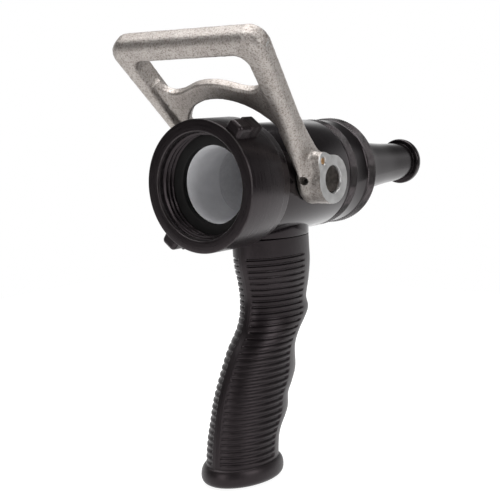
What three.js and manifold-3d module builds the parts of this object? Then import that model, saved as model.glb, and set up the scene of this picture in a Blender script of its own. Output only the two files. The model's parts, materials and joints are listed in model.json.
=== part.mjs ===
// Pistol-grip shut-off nozzle for a 38 mm fire hose, in millimetres, +Z up.
// +X is the flow direction and +Y is the operator's left. The origin is the centre of the grip's flat base.
// Lengths along the waterway are counted from the inlet face, so the waterway group starts there.
import * as THREE from 'three';
import { mergeVertices } from 'three/addons/utils/BufferGeometryUtils.js';
import Module from 'manifold-3d';

const wasm = await Module();
wasm.setup();

// ---- driving dimensions ----
const AXIS_HEIGHT = 148; // waterway axis above the grip's base
const INLET_X = -25; // inlet face, behind the middle of the grip's base
const PIVOT_X = 53.5; // valve pivot, from the inlet face
const BAIL_LEAN = THREE.MathUtils.degToRad(41.3); // the bail drawn back: valve open
const RUN_GAP = 0.3; // clearance between pieces that touch or turn
const ROUND = 40; // sides of a large turned surface
const SMALL_ROUND = 16; // sides of a small turned surface

const COUPLING = { radius: 32, bodyEnd: 25.3, skirtRadius: 30.6, end: 31.5, chamfer: 0.8, ease: 0.4 };
const THREAD = { start: 4.4, turns: 2, pitch: 25.4 / 9, minor: 24.2, major: 25.3, mouth: 25.5, crest: 0.7 };
const GASKET = { front: 10.6, back: 13.8, inner: 19, outer: 26.2, chamfer: 0.5 };
const TAIL = { front: 14, radius: 26.35, bore: 21.6, chamfer: 0.6 };
const RACE = { x: 21, centreRadius: 26.5, ballRadius: 2.38, balls: 30, arcSteps: 6 };
const RACE_PLUG = { radius: 3, inner: 29.2, outer: 31.5, holeInner: 28.2, holeOuter: 34 };
const LUG = { count: 2, angle: 52, start: 1.2, end: 17.2, top: 37.6, topWidth: 8.4, rootWidth: 9.6,
  root: 29.5, foot: 31.3, bevel: 0.8 };
const BODY = { radius: 28.1, start: 31.8, end: 87.4, cavity: 24.6, cavityStart: 36, flat: 27.2,
  spotRadius: 14, chamfer: 0.5, cutOver: 3 };
const BALL = { radius: 24, bore: 17.5, slotDepth: 4.3, slotWidth: 8.7, slotLength: 13 };
const NECK = { centre: 56.3, halfLength: 24.1, halfWidth: 15.6, depth: 12 };
const TANG = { x: 28, length: 24, width: 14, drop: 20 };
const SEAT = { start: 14.05, bore: 17.7, sleeve: 21.3, grooveStart: 27.9, grooveEnd: 30.6, grooveDepth: 1.5,
  lipMiddle: 19.6, lipOuter: 21.5 };
const ADAPTER = { start: 73.3, inner: 17.7, outer: 24.3, spigot: 21.6, end: 104.6, mouth: 16.4,
  chamfer: 0.6 };
const TIP = { start: 87.9, bandRadius: 28, grooveRadius: 27.2, firstBandEnd: 96, secondBandStart: 105.4,
  ringEnd: 113.8, socket: 21.9, socketEnd: 106.9, chamfer: 0.9, ease: 0.4 };
const TUBE = { end: 187.5, bore: 7.95, boreStart: 151.5, boreChamfer: 0.6, throat: 15.6, throatEase: 2,
  lipStart: 182, lipRadius: 12.9, lipEase: 0.4, lipShoulder: 185.3, lipTurn: 187, lipTurnRadius: 12.2,
  lipFace: 11.4 };
const TUBE_TAPER = [[113.8, 20], [115, 17.4], [117.3, 17], [135.8, 14], [158.8, 11.6], [177, 10.7],
  [182, 10.6]];
const TIP_GASKET = { gap: 0.2, edge: 0.5 };
const STEM = { radius: 6.6, inner: 20.2, shoulder: 24.2, end: 39.7, tongueWidth: 8, tongueLength: 12.4,
  grooveStart: 25.4, grooveEnd: 27.4, grooveDepth: 1.4, sealSection: 0.65, chamfer: 0.8 };
const SEAL_SECTION = 0.7; // section radius of the seat's O-ring
const SEAL_STEPS = 6;
const BUSH = { inner: 7, outer: 8.3, hole: 8.5, start: 25.1, end: 27.1 };
const BAIL = { bossRadius: 12, bossInner: 27.6, face: 40.7, armInner: 28.8, halfThickness: 6, top: 94.7,
  outerAtPivot: 32.3, outerSlope: 0.152, outerCorner: 9, innerCorner: 6.5, windowTop: 83.6,
  windowHalf: 33.4, stemHole: 6.8, edge: 1.6, bevel: 2.4, foot: 8, shoulder: 62, taperEnd: 38, tangent: 12 };
const WEB = { back: 3, front: 2.4, peak: 65.9, valley: 60.6, valleyAt: 23.5, archRadius: 28.8, archCentre: 27,
  side: 31.4, cornerRise: 5, cornerRun: 2.5, humpShoulder: 14.6, humpCrown: 11.8 };
const SETSCREW = { hole: 2.2, radius: 2, y: 32.2, inner: 6.95, outer: 11.4, reach: 18 };
const PIN = { hole: 1.8, radius: 1.5, offset: 12.4, inner: 33, outer: 40.2, sides: 12 };
const EAR = { radius: 5, offset: 11.7 }; // the part of each boss face that holds the pin
const GRIP = { top: 118.4, rows: 32, sides: 28, beadHeight: 9.5, beadRows: 6, beadReach: 2.4,
  footDraft: 1.6 };
const BOLT = { footX: 10, topX: 26, top: 116, radius: 3, headRadius: 5, headStart: 5.6, headEnd: 11.6,
  socketRadius: 2.6, socketEnd: 8.6, thread: 3.2, channel: 3.3, recess: 5.8, recessDepth: 13 };
const WASHER = { start: 11.8, end: 12.8, outer: 5.5, inner: 3.3 };
const OVERCUT = 1; // how far a cutter runs past the face it opens

// ---- geometry helpers ----
function closed(geometry) {
  // Keep only merged positions, and turn the faces outward.
  geometry.deleteAttribute('normal');
  geometry.deleteAttribute('uv');
  const merged = mergeVertices(geometry, 1e-4);
  const position = merged.attributes.position;
  const index = merged.index.array;
  const triangles = [];
  let volume = 0;
  const a = new THREE.Vector3();
  const b = new THREE.Vector3();
  const c = new THREE.Vector3();
  for (let i = 0; i < index.length; i += 3) {
    const [p, q, r] = [index[i], index[i + 1], index[i + 2]];
    if (p === q || q === r || r === p) continue;
    triangles.push(p, q, r);
    volume += a.fromBufferAttribute(position, p).dot(
      b.fromBufferAttribute(position, q).cross(c.fromBufferAttribute(position, r)));
  }
  merged.setIndex(volume < 0 ? triangles.reverse() : triangles);
  return merged;
}

function toSolid(geometry) {
  const clean = closed(geometry);
  return new wasm.Manifold(new wasm.Mesh({
    numProp: 3,
    vertProperties: new Float32Array(clean.attributes.position.array),
    triVerts: new Uint32Array(clean.index.array),
  }));
}

function toGeometry(solid) {
  const mesh = solid.getMesh();
  const geometry = new THREE.BufferGeometry();
  geometry.setAttribute('position', new THREE.BufferAttribute(new Float32Array(mesh.vertProperties), 3));
  geometry.setIndex(new THREE.BufferAttribute(new Uint32Array(mesh.triVerts), 1));
  geometry.computeVertexNormals();
  return geometry;
}

function turned(profile, sides = ROUND) {
  // Revolve [x, radius] points about the X axis.
  const points = profile.map(([x, radius]) => new THREE.Vector2(radius, x));
  const geometry = new THREE.LatheGeometry(points, sides);
  return geometry.rotateZ(-Math.PI / 2);
}

function ring(profile, sides = ROUND) {
  // A turned ring: its profile closes on itself.
  return turned([...profile, profile[0]], sides);
}

function arcPoints(centreX, centreRadius, radius, from, to, steps) {
  // Points on an arc of a profile, with its angles in degrees from +X towards +radius.
  return Array.from({ length: steps + 1 }, (unused, i) => {
    const angle = THREE.MathUtils.degToRad(from + ((to - from) * i) / steps);
    return [centreX + radius * Math.cos(angle), centreRadius + radius * Math.sin(angle)];
  });
}

function rodAlongY(radius, start, end, sides = SMALL_ROUND) {
  const geometry = new THREE.CylinderGeometry(radius, radius, end - start, sides);
  return geometry.translate(0, (start + end) / 2, 0);
}

function rodAlongX(radius, start, end, sides = SMALL_ROUND) {
  const geometry = new THREE.CylinderGeometry(radius, radius, end - start, sides);
  return geometry.rotateZ(Math.PI / 2).translate((start + end) / 2, 0, 0);
}

function box(sizeX, sizeY, sizeZ, x, y, z) {
  return new THREE.BoxGeometry(sizeX, sizeY, sizeZ).translate(x, y, z);
}

function extrudedAcross(shape, start, end, bevel = 0) {
  // Extrude a shape drawn in (Y, Z) along X, between two X positions, with bevelled rims.
  const geometry = new THREE.ExtrudeGeometry(shape, {
    depth: end - start - 2 * bevel,
    bevelEnabled: bevel > 0,
    bevelThickness: bevel,
    bevelSize: bevel,
    bevelOffset: -bevel,
    bevelSegments: 1,
    curveSegments: 5,
  });
  geometry.translate(0, 0, start + bevel);
  const toYZX = new THREE.Matrix4().makeBasis(
    new THREE.Vector3(0, 1, 0), new THREE.Vector3(0, 0, 1), new THREE.Vector3(1, 0, 0));
  return geometry.applyMatrix4(toYZX);
}

function material(color, roughness, metalness) {
  return new THREE.MeshStandardMaterial({ color, roughness, metalness });
}

const blackAnodised = () => material(0x1b1a1c, 0.35, 0.6);
const blackPolymer = () => material(0x232224, 0.55, 0);
const castAluminium = () => material(0xb8b2a9, 0.55, 0.8);
const stainless = () => material(0xa9abad, 0.3, 1);
const darkSteel = () => material(0x4b4742, 0.45, 0.9);
const blackRubber = () => material(0x111112, 0.8, 0);
const paleAcetal = () => material(0xc9c9cc, 0.4, 0);
const bronze = () => material(0xa8743a, 0.4, 0.9);

function piece(name, geometry, finish) {
  const mesh = new THREE.Mesh(closed(geometry), finish);
  mesh.name = name;
  return mesh;
}

// ---- inlet side ----
function threadProfile() {
  // Concentric 60-degree thread grooves in the coupling's bore.
  const points = [];
  const flank = (THREAD.pitch - 2 * THREAD.crest) / 2;
  for (let turn = 0; turn < THREAD.turns; turn += 1) {
    const x = THREAD.start + turn * THREAD.pitch;
    points.push([x, THREAD.minor], [x + THREAD.crest, THREAD.minor]);
    points.push([x + THREAD.crest + flank, THREAD.major], [x + 2 * THREAD.crest + flank, THREAD.major]);
  }
  const last = THREAD.start + THREAD.turns * THREAD.pitch;
  points.push([last, THREAD.minor], [GASKET.front - RUN_GAP, THREAD.minor]);
  return points;
}

function lugShape() {
  // Section of a rocker lug, drawn in (Y, Z) with Z outward from the waterway axis.
  const { root, foot, top, rootWidth, topWidth } = LUG;
  const shape = new THREE.Shape();
  shape.moveTo(-rootWidth / 2, root);
  shape.lineTo(rootWidth / 2, root);
  shape.lineTo(rootWidth / 2, foot);
  shape.lineTo(topWidth / 2, top);
  shape.lineTo(-topWidth / 2, top);
  shape.lineTo(-rootWidth / 2, foot);
  return shape;
}

function inletCoupling() {
  const { radius, bodyEnd, skirtRadius, end, chamfer, ease } = COUPLING;
  const bore = TAIL.radius + RUN_GAP;
  const race = RACE.ballRadius + RUN_GAP;
  const shell = toSolid(ring([
    [0, THREAD.mouth + chamfer],
    [0, radius - chamfer],
    [chamfer, radius],
    [bodyEnd, radius],
    [bodyEnd + ease, skirtRadius],
    [end - ease, skirtRadius],
    [end, skirtRadius - ease],
    [end, bore],
    ...arcPoints(RACE.x, bore, race, 0, 180, RACE.arcSteps),
    [GASKET.front - RUN_GAP, bore],
    ...threadProfile().reverse(),
    [THREAD.start, THREAD.mouth],
    [chamfer, THREAD.mouth],
  ]));
  let coupling = shell;
  for (let i = 0; i < LUG.count; i += 1) {
    const turn = THREE.MathUtils.degToRad(90 - LUG.angle + (360 * i) / LUG.count);
    const lug = extrudedAcross(lugShape(), LUG.start, LUG.end, LUG.bevel).rotateX(turn);
    coupling = coupling.add(toSolid(lug));
  }
  const screwHole = toSolid(racePlug(RACE_PLUG.radius + RUN_GAP, RACE_PLUG.holeInner, RACE_PLUG.holeOuter));
  return piece('inlet_coupling', toGeometry(coupling.subtract(screwHole)), blackAnodised());
}

function racePlug(radius, inner, outer) {
  // The plug that closes the hole through which the swivel's balls are fed, midway between the lugs.
  const geometry = rodAlongY(radius, inner, outer);
  return geometry.translate(RACE.x, 0, 0).rotateX(THREE.MathUtils.degToRad(90 - LUG.angle));
}

function inletGasket() {
  const { front, back, inner, outer, chamfer } = GASKET;
  const profile = [
    [front, inner + chamfer],
    [front, outer],
    [back, outer],
    [back, inner],
    [front + chamfer, inner],
  ];
  return piece('inlet_gasket', ring(profile), blackRubber());
}

function swivelBalls() {
  return Array.from({ length: RACE.balls }, (unused, i) => {
    const ball = piece(`swivel_ball_${i + 1}`, new THREE.SphereGeometry(RACE.ballRadius, 6, 4), stainless());
    const angle = (2 * Math.PI * i) / RACE.balls;
    ball.position.set(RACE.x, RACE.centreRadius * Math.cos(angle), RACE.centreRadius * Math.sin(angle));
    return ball;
  });
}

function raceScrew() {
  return piece('race_plug_screw', racePlug(RACE_PLUG.radius, RACE_PLUG.inner, RACE_PLUG.outer), darkSteel());
}

// ---- valve body ----
function gripNeck() {
  // The block under the body that carries the grip, in waterway coordinates.
  const shape = new THREE.Shape();
  shape.absellipse(NECK.centre, 0, NECK.halfLength, NECK.halfWidth, 0, 2 * Math.PI);
  const depth = NECK.depth;
  const geometry = new THREE.ExtrudeGeometry(shape, { depth, bevelEnabled: false, curveSegments: 16 });
  return geometry.translate(0, 0, GRIP.top + RUN_GAP - AXIS_HEIGHT);
}

function gripTang(clearance) {
  // The block that hangs from the neck into the grip and takes the bolt's thread.
  const { x, length, width, drop } = TANG;
  const size = [length + 2 * clearance, width + 2 * clearance, drop + 2 * clearance + 1];
  return box(...size, x, 0, GRIP.top + 1 - size[2] / 2 + clearance);
}

function valveBody() {
  const { radius, start, end, cavity, cavityStart, flat, spotRadius, chamfer, cutOver } = BODY;
  const race = RACE.ballRadius + RUN_GAP;
  let body = toSolid(ring([
    [TAIL.front, TAIL.bore],
    [TAIL.front, TAIL.radius - TAIL.chamfer],
    [TAIL.front + TAIL.chamfer, TAIL.radius],
    ...arcPoints(RACE.x, TAIL.radius, race, 180, 360, RACE.arcSteps),
    [start, TAIL.radius],
    [start, radius - chamfer],
    [start + chamfer, radius],
    [end - chamfer, radius],
    [end, radius - chamfer],
    [end, cavity],
    [cavityStart, cavity],
    [cavityStart, TAIL.bore],
  ]));
  const core = rodAlongX(radius - OVERCUT, start - cutOver, end, ROUND);
  const neck = toSolid(gripNeck()).subtract(toSolid(core));
  const tang = gripTang(0).translate(-INLET_X, 0, -AXIS_HEIGHT);
  body = body.add(neck).add(toSolid(tang));
  for (const side of [-1, 1]) {
    const spot = rodAlongY(spotRadius, flat, radius + cutOver, ROUND);
    const hole = rodAlongY(BUSH.hole, cavity - cutOver, radius + cutOver);
    for (const cut of [spot, hole]) {
      if (side < 0) cut.rotateZ(Math.PI);
      body = body.subtract(toSolid(cut.translate(PIVOT_X, 0, 0)));
    }
  }
  const thread = boltRod(BOLT.thread, GRIP.top - TANG.drop - BODY.cutOver, BOLT.top + RUN_GAP);
  body = body.subtract(toSolid(thread.translate(-INLET_X, 0, -AXIS_HEIGHT)));
  return piece('valve_body', toGeometry(body), blackAnodised());
}

function upstreamSeat() {
  // A sleeve that lines the inlet's waterway and seals on the ball.
  const { start, bore, sleeve, grooveStart, grooveEnd, grooveDepth } = SEAT;
  const reach = BALL.radius + RUN_GAP;
  const contact = (r) => [PIVOT_X - Math.sqrt(reach ** 2 - r ** 2), r];
  const middle = (bore + sleeve) / 2;
  return piece('upstream_seat', ring([
    [start, GASKET.inner],
    [start, sleeve],
    [grooveStart, sleeve],
    [grooveStart, sleeve - grooveDepth],
    [grooveEnd, sleeve - grooveDepth],
    [grooveEnd, sleeve],
    contact(sleeve), contact(middle), contact(bore),
  ]), paleAcetal());
}

function seatSeal() {
  const { sleeve, grooveStart, grooveEnd, grooveDepth } = SEAT;
  const middle = (grooveStart + grooveEnd) / 2;
  const section = arcPoints(middle, sleeve - grooveDepth / 2, SEAL_SECTION, 0, 360, SEAL_STEPS);
  return piece('seat_o_ring', turned(section), blackRubber());
}

function downstreamSeat() {
  const { bore, lipMiddle, lipOuter } = SEAT;
  const reach = BALL.radius + RUN_GAP;
  const contact = (r) => [PIVOT_X + Math.sqrt(reach ** 2 - r ** 2), r];
  const back = ADAPTER.start - RUN_GAP;
  return piece('downstream_seat', ring([
    contact(bore),
    contact(lipMiddle),
    contact(lipOuter),
    [contact(lipOuter)[0], ADAPTER.outer],
    [back, ADAPTER.outer],
    [back, bore],
  ]), paleAcetal());
}

function outletAdapter() {
  const { start, inner, outer, spigot, end, mouth, chamfer } = ADAPTER;
  return piece('outlet_adapter', ring([
    [start, inner],
    [start, outer],
    [BODY.end, outer],
    [BODY.end, spigot],
    [end - chamfer, spigot],
    [end, spigot - chamfer],
    [end, mouth],
  ]), blackAnodised());
}

function valveBall() {
  const { radius, bore, slotDepth, slotWidth, slotLength } = BALL;
  const rim = THREE.MathUtils.radToDeg(Math.asin(bore / radius));
  let ball = toSolid(ring(arcPoints(0, 0, radius, 180 - rim, rim, 12), ROUND));
  for (const side of [-1, 1]) {
    const slot = box(slotWidth, slotDepth * 2, slotLength, 0, side * radius, 0);
    ball = ball.subtract(toSolid(slot));
  }
  return piece('valve_ball', toGeometry(ball), stainless());
}

function stem(side) {
  const { radius, inner, shoulder, end, tongueWidth, tongueLength } = STEM;
  const { grooveStart, grooveEnd, grooveDepth, chamfer } = STEM;
  const shaft = turned([
    [shoulder, 0],
    [shoulder, radius],
    [grooveStart, radius],
    [grooveStart, radius - grooveDepth],
    [grooveEnd, radius - grooveDepth],
    [grooveEnd, radius],
    [end - chamfer, radius],
    [end, radius - chamfer],
    [end, 0],
  ], SMALL_ROUND).rotateZ(Math.PI / 2);
  const tongueEnd = shoulder + RUN_GAP;
  const tongue = box(tongueWidth, tongueEnd - inner, tongueLength, 0, (tongueEnd + inner) / 2, 0);
  const solid = toSolid(shaft).add(toSolid(tongue));
  const mesh = piece(`trunnion_stem_${side.name}`, toGeometry(solid), darkSteel());
  if (side.sign < 0) mesh.rotation.z = Math.PI;
  return mesh;
}

function stemSeal(side) {
  const { radius, grooveStart, grooveEnd, grooveDepth, sealSection } = STEM;
  const middle = (grooveStart + grooveEnd) / 2;
  const section = arcPoints(middle, radius - grooveDepth / 2, sealSection, 0, 360, SEAL_STEPS);
  const seal = turned(section, SMALL_ROUND);
  const mesh = piece(`stem_o_ring_${side.name}`, seal.rotateZ(Math.PI / 2), blackRubber());
  if (side.sign < 0) mesh.rotation.z = Math.PI;
  return mesh;
}

function stemBush(side) {
  const { inner, outer, start, end } = BUSH;
  const bush = ring([[start, inner], [start, outer], [end, outer], [end, inner]], SMALL_ROUND);
  const mesh = piece(`stem_bush_${side.name}`, bush.rotateZ(Math.PI / 2), bronze());
  if (side.sign < 0) mesh.rotation.z = Math.PI;
  return mesh;
}

// ---- bail: Y across, Z up the arms, X towards the outlet ----
function outerHalfWidth(z) {
  return BAIL.outerAtPivot + BAIL.outerSlope * z;
}

function bailFrameShape() {
  const { top, outerCorner, innerCorner, windowTop, windowHalf, armInner } = BAIL;
  const { foot, shoulder, edge } = BAIL;
  const shape = new THREE.Shape();
  shape.moveTo(armInner, foot);
  shape.lineTo(outerHalfWidth(foot), foot);
  shape.lineTo(outerHalfWidth(top - outerCorner), top - outerCorner);
  shape.quadraticCurveTo(outerHalfWidth(top), top, outerHalfWidth(top) - outerCorner, top);
  shape.lineTo(outerCorner - outerHalfWidth(top), top);
  shape.quadraticCurveTo(-outerHalfWidth(top), top, -outerHalfWidth(top - outerCorner), top - outerCorner);
  shape.lineTo(-outerHalfWidth(foot), foot);
  shape.lineTo(-armInner, foot);
  shape.lineTo(-armInner, WEB.archCentre);
  shape.lineTo(edge - windowHalf, shoulder);
  shape.lineTo(-windowHalf, windowTop - innerCorner);
  shape.quadraticCurveTo(-windowHalf, windowTop, innerCorner - windowHalf, windowTop);
  shape.lineTo(windowHalf - innerCorner, windowTop);
  shape.quadraticCurveTo(windowHalf, windowTop, windowHalf, windowTop - innerCorner);
  shape.lineTo(windowHalf - edge, shoulder);
  shape.lineTo(armInner, WEB.archCentre);
  return shape;
}

function webShape() {
  // The plate between the arms: humped above, arched over the body below.
  const { peak, valley, valleyAt, archRadius, archCentre, side, cornerRun, humpShoulder, humpCrown } = WEB;
  const rise = valley + WEB.cornerRise;
  const shape = new THREE.Shape();
  shape.moveTo(side, archCentre);
  shape.lineTo(side, rise);
  shape.quadraticCurveTo(side - cornerRun, valley, valleyAt, valley);
  shape.bezierCurveTo(humpShoulder, valley, humpCrown, peak, 0, peak);
  shape.bezierCurveTo(-humpCrown, peak, -humpShoulder, valley, -valleyAt, valley);
  shape.quadraticCurveTo(cornerRun - side, valley, -side, rise);
  shape.lineTo(-side, archCentre);
  shape.lineTo(-archRadius, archCentre);
  shape.absarc(0, archCentre, archRadius, Math.PI, 0, true);
  return shape;
}

function armRoot(side) {
  // The taper from the round boss to the arm, seen along Y.
  const { bossRadius, halfThickness, armInner, taperEnd, edge } = BAIL;
  const tangent = THREE.MathUtils.degToRad(BAIL.tangent);
  const shape = new THREE.Shape();
  shape.moveTo(-halfThickness, taperEnd);
  shape.absarc(0, 0, bossRadius, Math.PI - tangent, tangent, false);
  shape.lineTo(halfThickness, taperEnd);
  const depth = outerHalfWidth(taperEnd) - armInner - edge;
  const geometry = new THREE.ExtrudeGeometry(shape, { depth, bevelEnabled: false, curveSegments: 12 });
  geometry.rotateX(Math.PI / 2);
  return geometry.translate(0, side * (armInner + depth / 2) + depth / 2, 0);
}

function bail() {
  const { bossRadius, bossInner, face, halfThickness, stemHole } = BAIL;
  let solid = toSolid(extrudedAcross(bailFrameShape(), -halfThickness, halfThickness, BAIL.bevel));
  solid = solid.add(toSolid(extrudedAcross(webShape(), -WEB.back, WEB.front)));
  for (const side of [-1, 1]) {
    const along = (geometry) => toSolid(side < 0 ? geometry.rotateZ(Math.PI) : geometry);
    solid = solid.add(toSolid(armRoot(side)));
    solid = solid.add(along(rodAlongY(bossRadius, bossInner, face, ROUND)));
    const ear = rodAlongY(EAR.radius, BAIL.armInner, face, SMALL_ROUND).translate(0, 0, EAR.offset);
    solid = solid.add(along(ear));
    solid = solid.subtract(along(rodAlongY(stemHole, bossInner - OVERCUT, face + OVERCUT)));
    const pinHole = rodAlongY(PIN.hole, PIN.inner - RUN_GAP, face + OVERCUT, PIN.sides);
    solid = solid.subtract(along(pinHole.translate(0, 0, PIN.offset)));
    const tapped = rodAlongX(SETSCREW.hole, -SETSCREW.reach, -stemHole + OVERCUT);
    tapped.rotateY(BAIL_LEAN).translate(0, side * SETSCREW.y, 0);
    solid = solid.subtract(toSolid(tapped));
  }
  return piece('bail', toGeometry(solid), castAluminium());
}

function bailSetscrew(side) {
  const screw = rodAlongX(SETSCREW.radius, -SETSCREW.outer, -SETSCREW.inner);
  screw.rotateY(BAIL_LEAN).translate(0, side.sign * SETSCREW.y, 0);
  return piece(`bail_setscrew_${side.name}`, screw, darkSteel());
}

function bailPin(side) {
  const pin = rodAlongY(PIN.radius, PIN.inner, PIN.outer, PIN.sides).translate(0, 0, PIN.offset);
  if (side.sign < 0) pin.rotateZ(Math.PI);
  return piece(`bail_pin_${side.name}`, pin, bronze());
}

// ---- outlet side ----
function nozzleTip() {
  const { start, bandRadius, grooveRadius, firstBandEnd, secondBandStart, ringEnd, socket, socketEnd,
    chamfer, ease } = TIP;
  const { end, bore, boreStart, boreChamfer, throat, throatEase } = TUBE;
  const { lipStart, lipRadius, lipEase, lipShoulder, lipTurn, lipTurnRadius, lipFace } = TUBE;
  return piece('nozzle_tip', ring([
    [start, socket],
    [start, bandRadius - chamfer],
    [start + chamfer, bandRadius],
    [firstBandEnd, bandRadius],
    [firstBandEnd + ease, grooveRadius],
    [secondBandStart - ease, grooveRadius],
    [secondBandStart, bandRadius],
    [ringEnd - chamfer, bandRadius],
    [ringEnd, bandRadius - chamfer],
    ...TUBE_TAPER,
    [lipStart, lipRadius - lipEase],
    [lipStart + lipEase, lipRadius],
    [lipShoulder, lipRadius],
    [lipTurn, lipTurnRadius],
    [end, lipFace],
    [end, bore + boreChamfer],
    [end - boreChamfer, bore],
    [boreStart, bore],
    [socketEnd + throatEase, throat - RUN_GAP],
    [socketEnd, throat],
    [socketEnd, socket],
  ]), blackAnodised());
}

function tipGasket() {
  const front = ADAPTER.end + TIP_GASKET.gap;
  const back = TIP.socketEnd - TIP_GASKET.gap;
  const outer = TIP.socket - TIP_GASKET.edge;
  const profile = [[front, ADAPTER.mouth], [front, outer], [back, outer], [back, ADAPTER.mouth]];
  return piece('tip_gasket', ring(profile), blackRubber());
}

// ---- grip ----
const GRIP_FRONT = new THREE.SplineCurve([[22.3, 0], [22.8, 14], [25, 22], [32.4, 31], [33.8, 39],
  [38, 44.5], [41.4, 51], [41.2, 62], [45, 69.5], [53.8, 79], [52.2, 86], [54.4, 94], [56.2, 104],
  [55.8, 112], [55.4, GRIP.top]].map(([x, z]) => new THREE.Vector2(x, z)));
const GRIP_BACK = new THREE.SplineCurve([[-21.9, 0], [-20.6, 16], [-17.5, 32], [-12.5, 47], [-3.6, 62],
  [5.8, 73.5], [9.2, 86], [8.2, 96], [5.8, 106], [5.3, GRIP.top]].map(([x, z]) => new THREE.Vector2(x, z)));
const GRIP_HALF_WIDTH = new THREE.SplineCurve([[15.6, 0], [15.2, 30], [14.2, 58], [14, 84], [15.2, 104],
  [15.6, GRIP.top]].map(([y, z]) => new THREE.Vector2(y, z)));

function atHeight(curve, z) {
  // Read a curve's first coordinate at a height.
  let low = 0;
  let high = 1;
  for (let i = 0; i < 30; i += 1) {
    const middle = (low + high) / 2;
    if (curve.getPoint(middle).y < z) low = middle;
    else high = middle;
  }
  return curve.getPoint(low).x;
}

function beadBulge(z) {
  // How far the round bead at the foot of the grip stands proud.
  const { beadHeight, beadReach, footDraft } = GRIP;
  const along = (z - beadHeight / 2) / (beadHeight / 2);
  const below = along < 0;
  if (Math.abs(along) >= 1) return below ? -footDraft : 0;
  return beadReach * Math.sqrt(1 - along ** 2) - (below ? footDraft * along ** 4 : 0);
}

function boltRod(radius, start, end, sides = SMALL_ROUND) {
  // A rod on the grip bolt's slanted axis, between two lengths from the grip's base.
  const lean = Math.atan2(BOLT.topX - BOLT.footX, BOLT.top);
  const geometry = rodAlongY(radius, start, end, sides).rotateX(Math.PI / 2);
  return geometry.rotateY(lean).translate(BOLT.footX, 0, 0);
}

function couplingRelief() {
  // The room that the grip's back leaves for the turning coupling.
  const end = BODY.start;
  const relief = rodAlongX(COUPLING.skirtRadius + 2 * RUN_GAP, COUPLING.chamfer, end, ROUND);
  return relief.translate(INLET_X, 0, AXIS_HEIGHT);
}

function grip() {
  const { top, rows, sides, beadHeight, beadRows } = GRIP;
  const heights = [];
  for (let i = 0; i <= beadRows; i += 1) heights.push((beadHeight * i) / beadRows);
  const upperRows = rows - beadRows;
  for (let i = 1; i <= upperRows; i += 1) heights.push(beadHeight + ((top - beadHeight) * i) / upperRows);
  const geometry = new THREE.CylinderGeometry(1, 1, 1, sides, rows).rotateX(Math.PI / 2);
  const position = geometry.attributes.position;
  for (let i = 0; i < position.count; i += 1) {
    const row = Math.round((position.getZ(i) + 0.5) * rows);
    const z = heights[row];
    const front = atHeight(GRIP_FRONT, z);
    const back = atHeight(GRIP_BACK, z);
    const bulge = beadBulge(z);
    const x = (front + back) / 2 + ((front - back) / 2 + bulge) * position.getX(i);
    position.setXYZ(i, x, (atHeight(GRIP_HALF_WIDTH, z) + bulge) * position.getY(i), z);
  }
  let solid = toSolid(geometry);
  solid = solid.subtract(toSolid(gripTang(RUN_GAP)));
  solid = solid.subtract(toSolid(couplingRelief()));
  solid = solid.subtract(toSolid(boltRod(BOLT.channel, -OVERCUT, BOLT.top)));
  solid = solid.subtract(toSolid(boltRod(BOLT.recess, -BODY.cutOver, BOLT.recessDepth)));
  return piece('grip', toGeometry(solid), blackPolymer());
}

function gripBolt() {
  const { radius, headRadius, headStart, headEnd, socketRadius, socketEnd, top } = BOLT;
  const socket = toSolid(boltRod(socketRadius, headStart - OVERCUT, socketEnd, 6));
  const head = toSolid(boltRod(headRadius, headStart, headEnd));
  const shank = toSolid(boltRod(radius, headEnd - OVERCUT, top));
  return piece('grip_bolt', toGeometry(head.add(shank).subtract(socket)), darkSteel());
}

function gripWasher() {
  const { start, end, outer, inner } = WASHER;
  const disc = toSolid(boltRod(outer, start, end));
  const hole = toSolid(boltRod(inner, start - OVERCUT, end + OVERCUT));
  return piece('grip_washer', toGeometry(disc.subtract(hole)), darkSteel());
}

// ---- assembly ----
const SIDES = [{ name: 'right', sign: -1 }, { name: 'left', sign: 1 }];
const nozzle = new THREE.Group();

const waterway = new THREE.Group();
waterway.position.set(INLET_X, 0, AXIS_HEIGHT);
waterway.add(inletCoupling(), inletGasket(), ...swivelBalls(), raceScrew(), valveBody(), upstreamSeat(),
  seatSeal(), downstreamSeat(), outletAdapter(), tipGasket(), nozzleTip());
nozzle.add(waterway);

const valve = new THREE.Group();
valve.position.set(PIVOT_X, 0, 0);
waterway.add(valve);
valve.add(valveBall());
for (const side of SIDES) valve.add(stem(side), stemSeal(side), stemBush(side));

const bailGroup = new THREE.Group();
bailGroup.rotation.y = -BAIL_LEAN;
bailGroup.add(bail());
for (const side of SIDES) bailGroup.add(bailSetscrew(side), bailPin(side));
valve.add(bailGroup);

nozzle.add(grip(), gripBolt(), gripWasher());

export default nozzle;
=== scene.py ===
"""Fire hose nozzle: swivel coupling, ball valve body with a cast bail, knurled tip and pistol grip."""

import json
import math

import bmesh
import bpy
import numpy as np
from mathutils import Matrix, Vector


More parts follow.
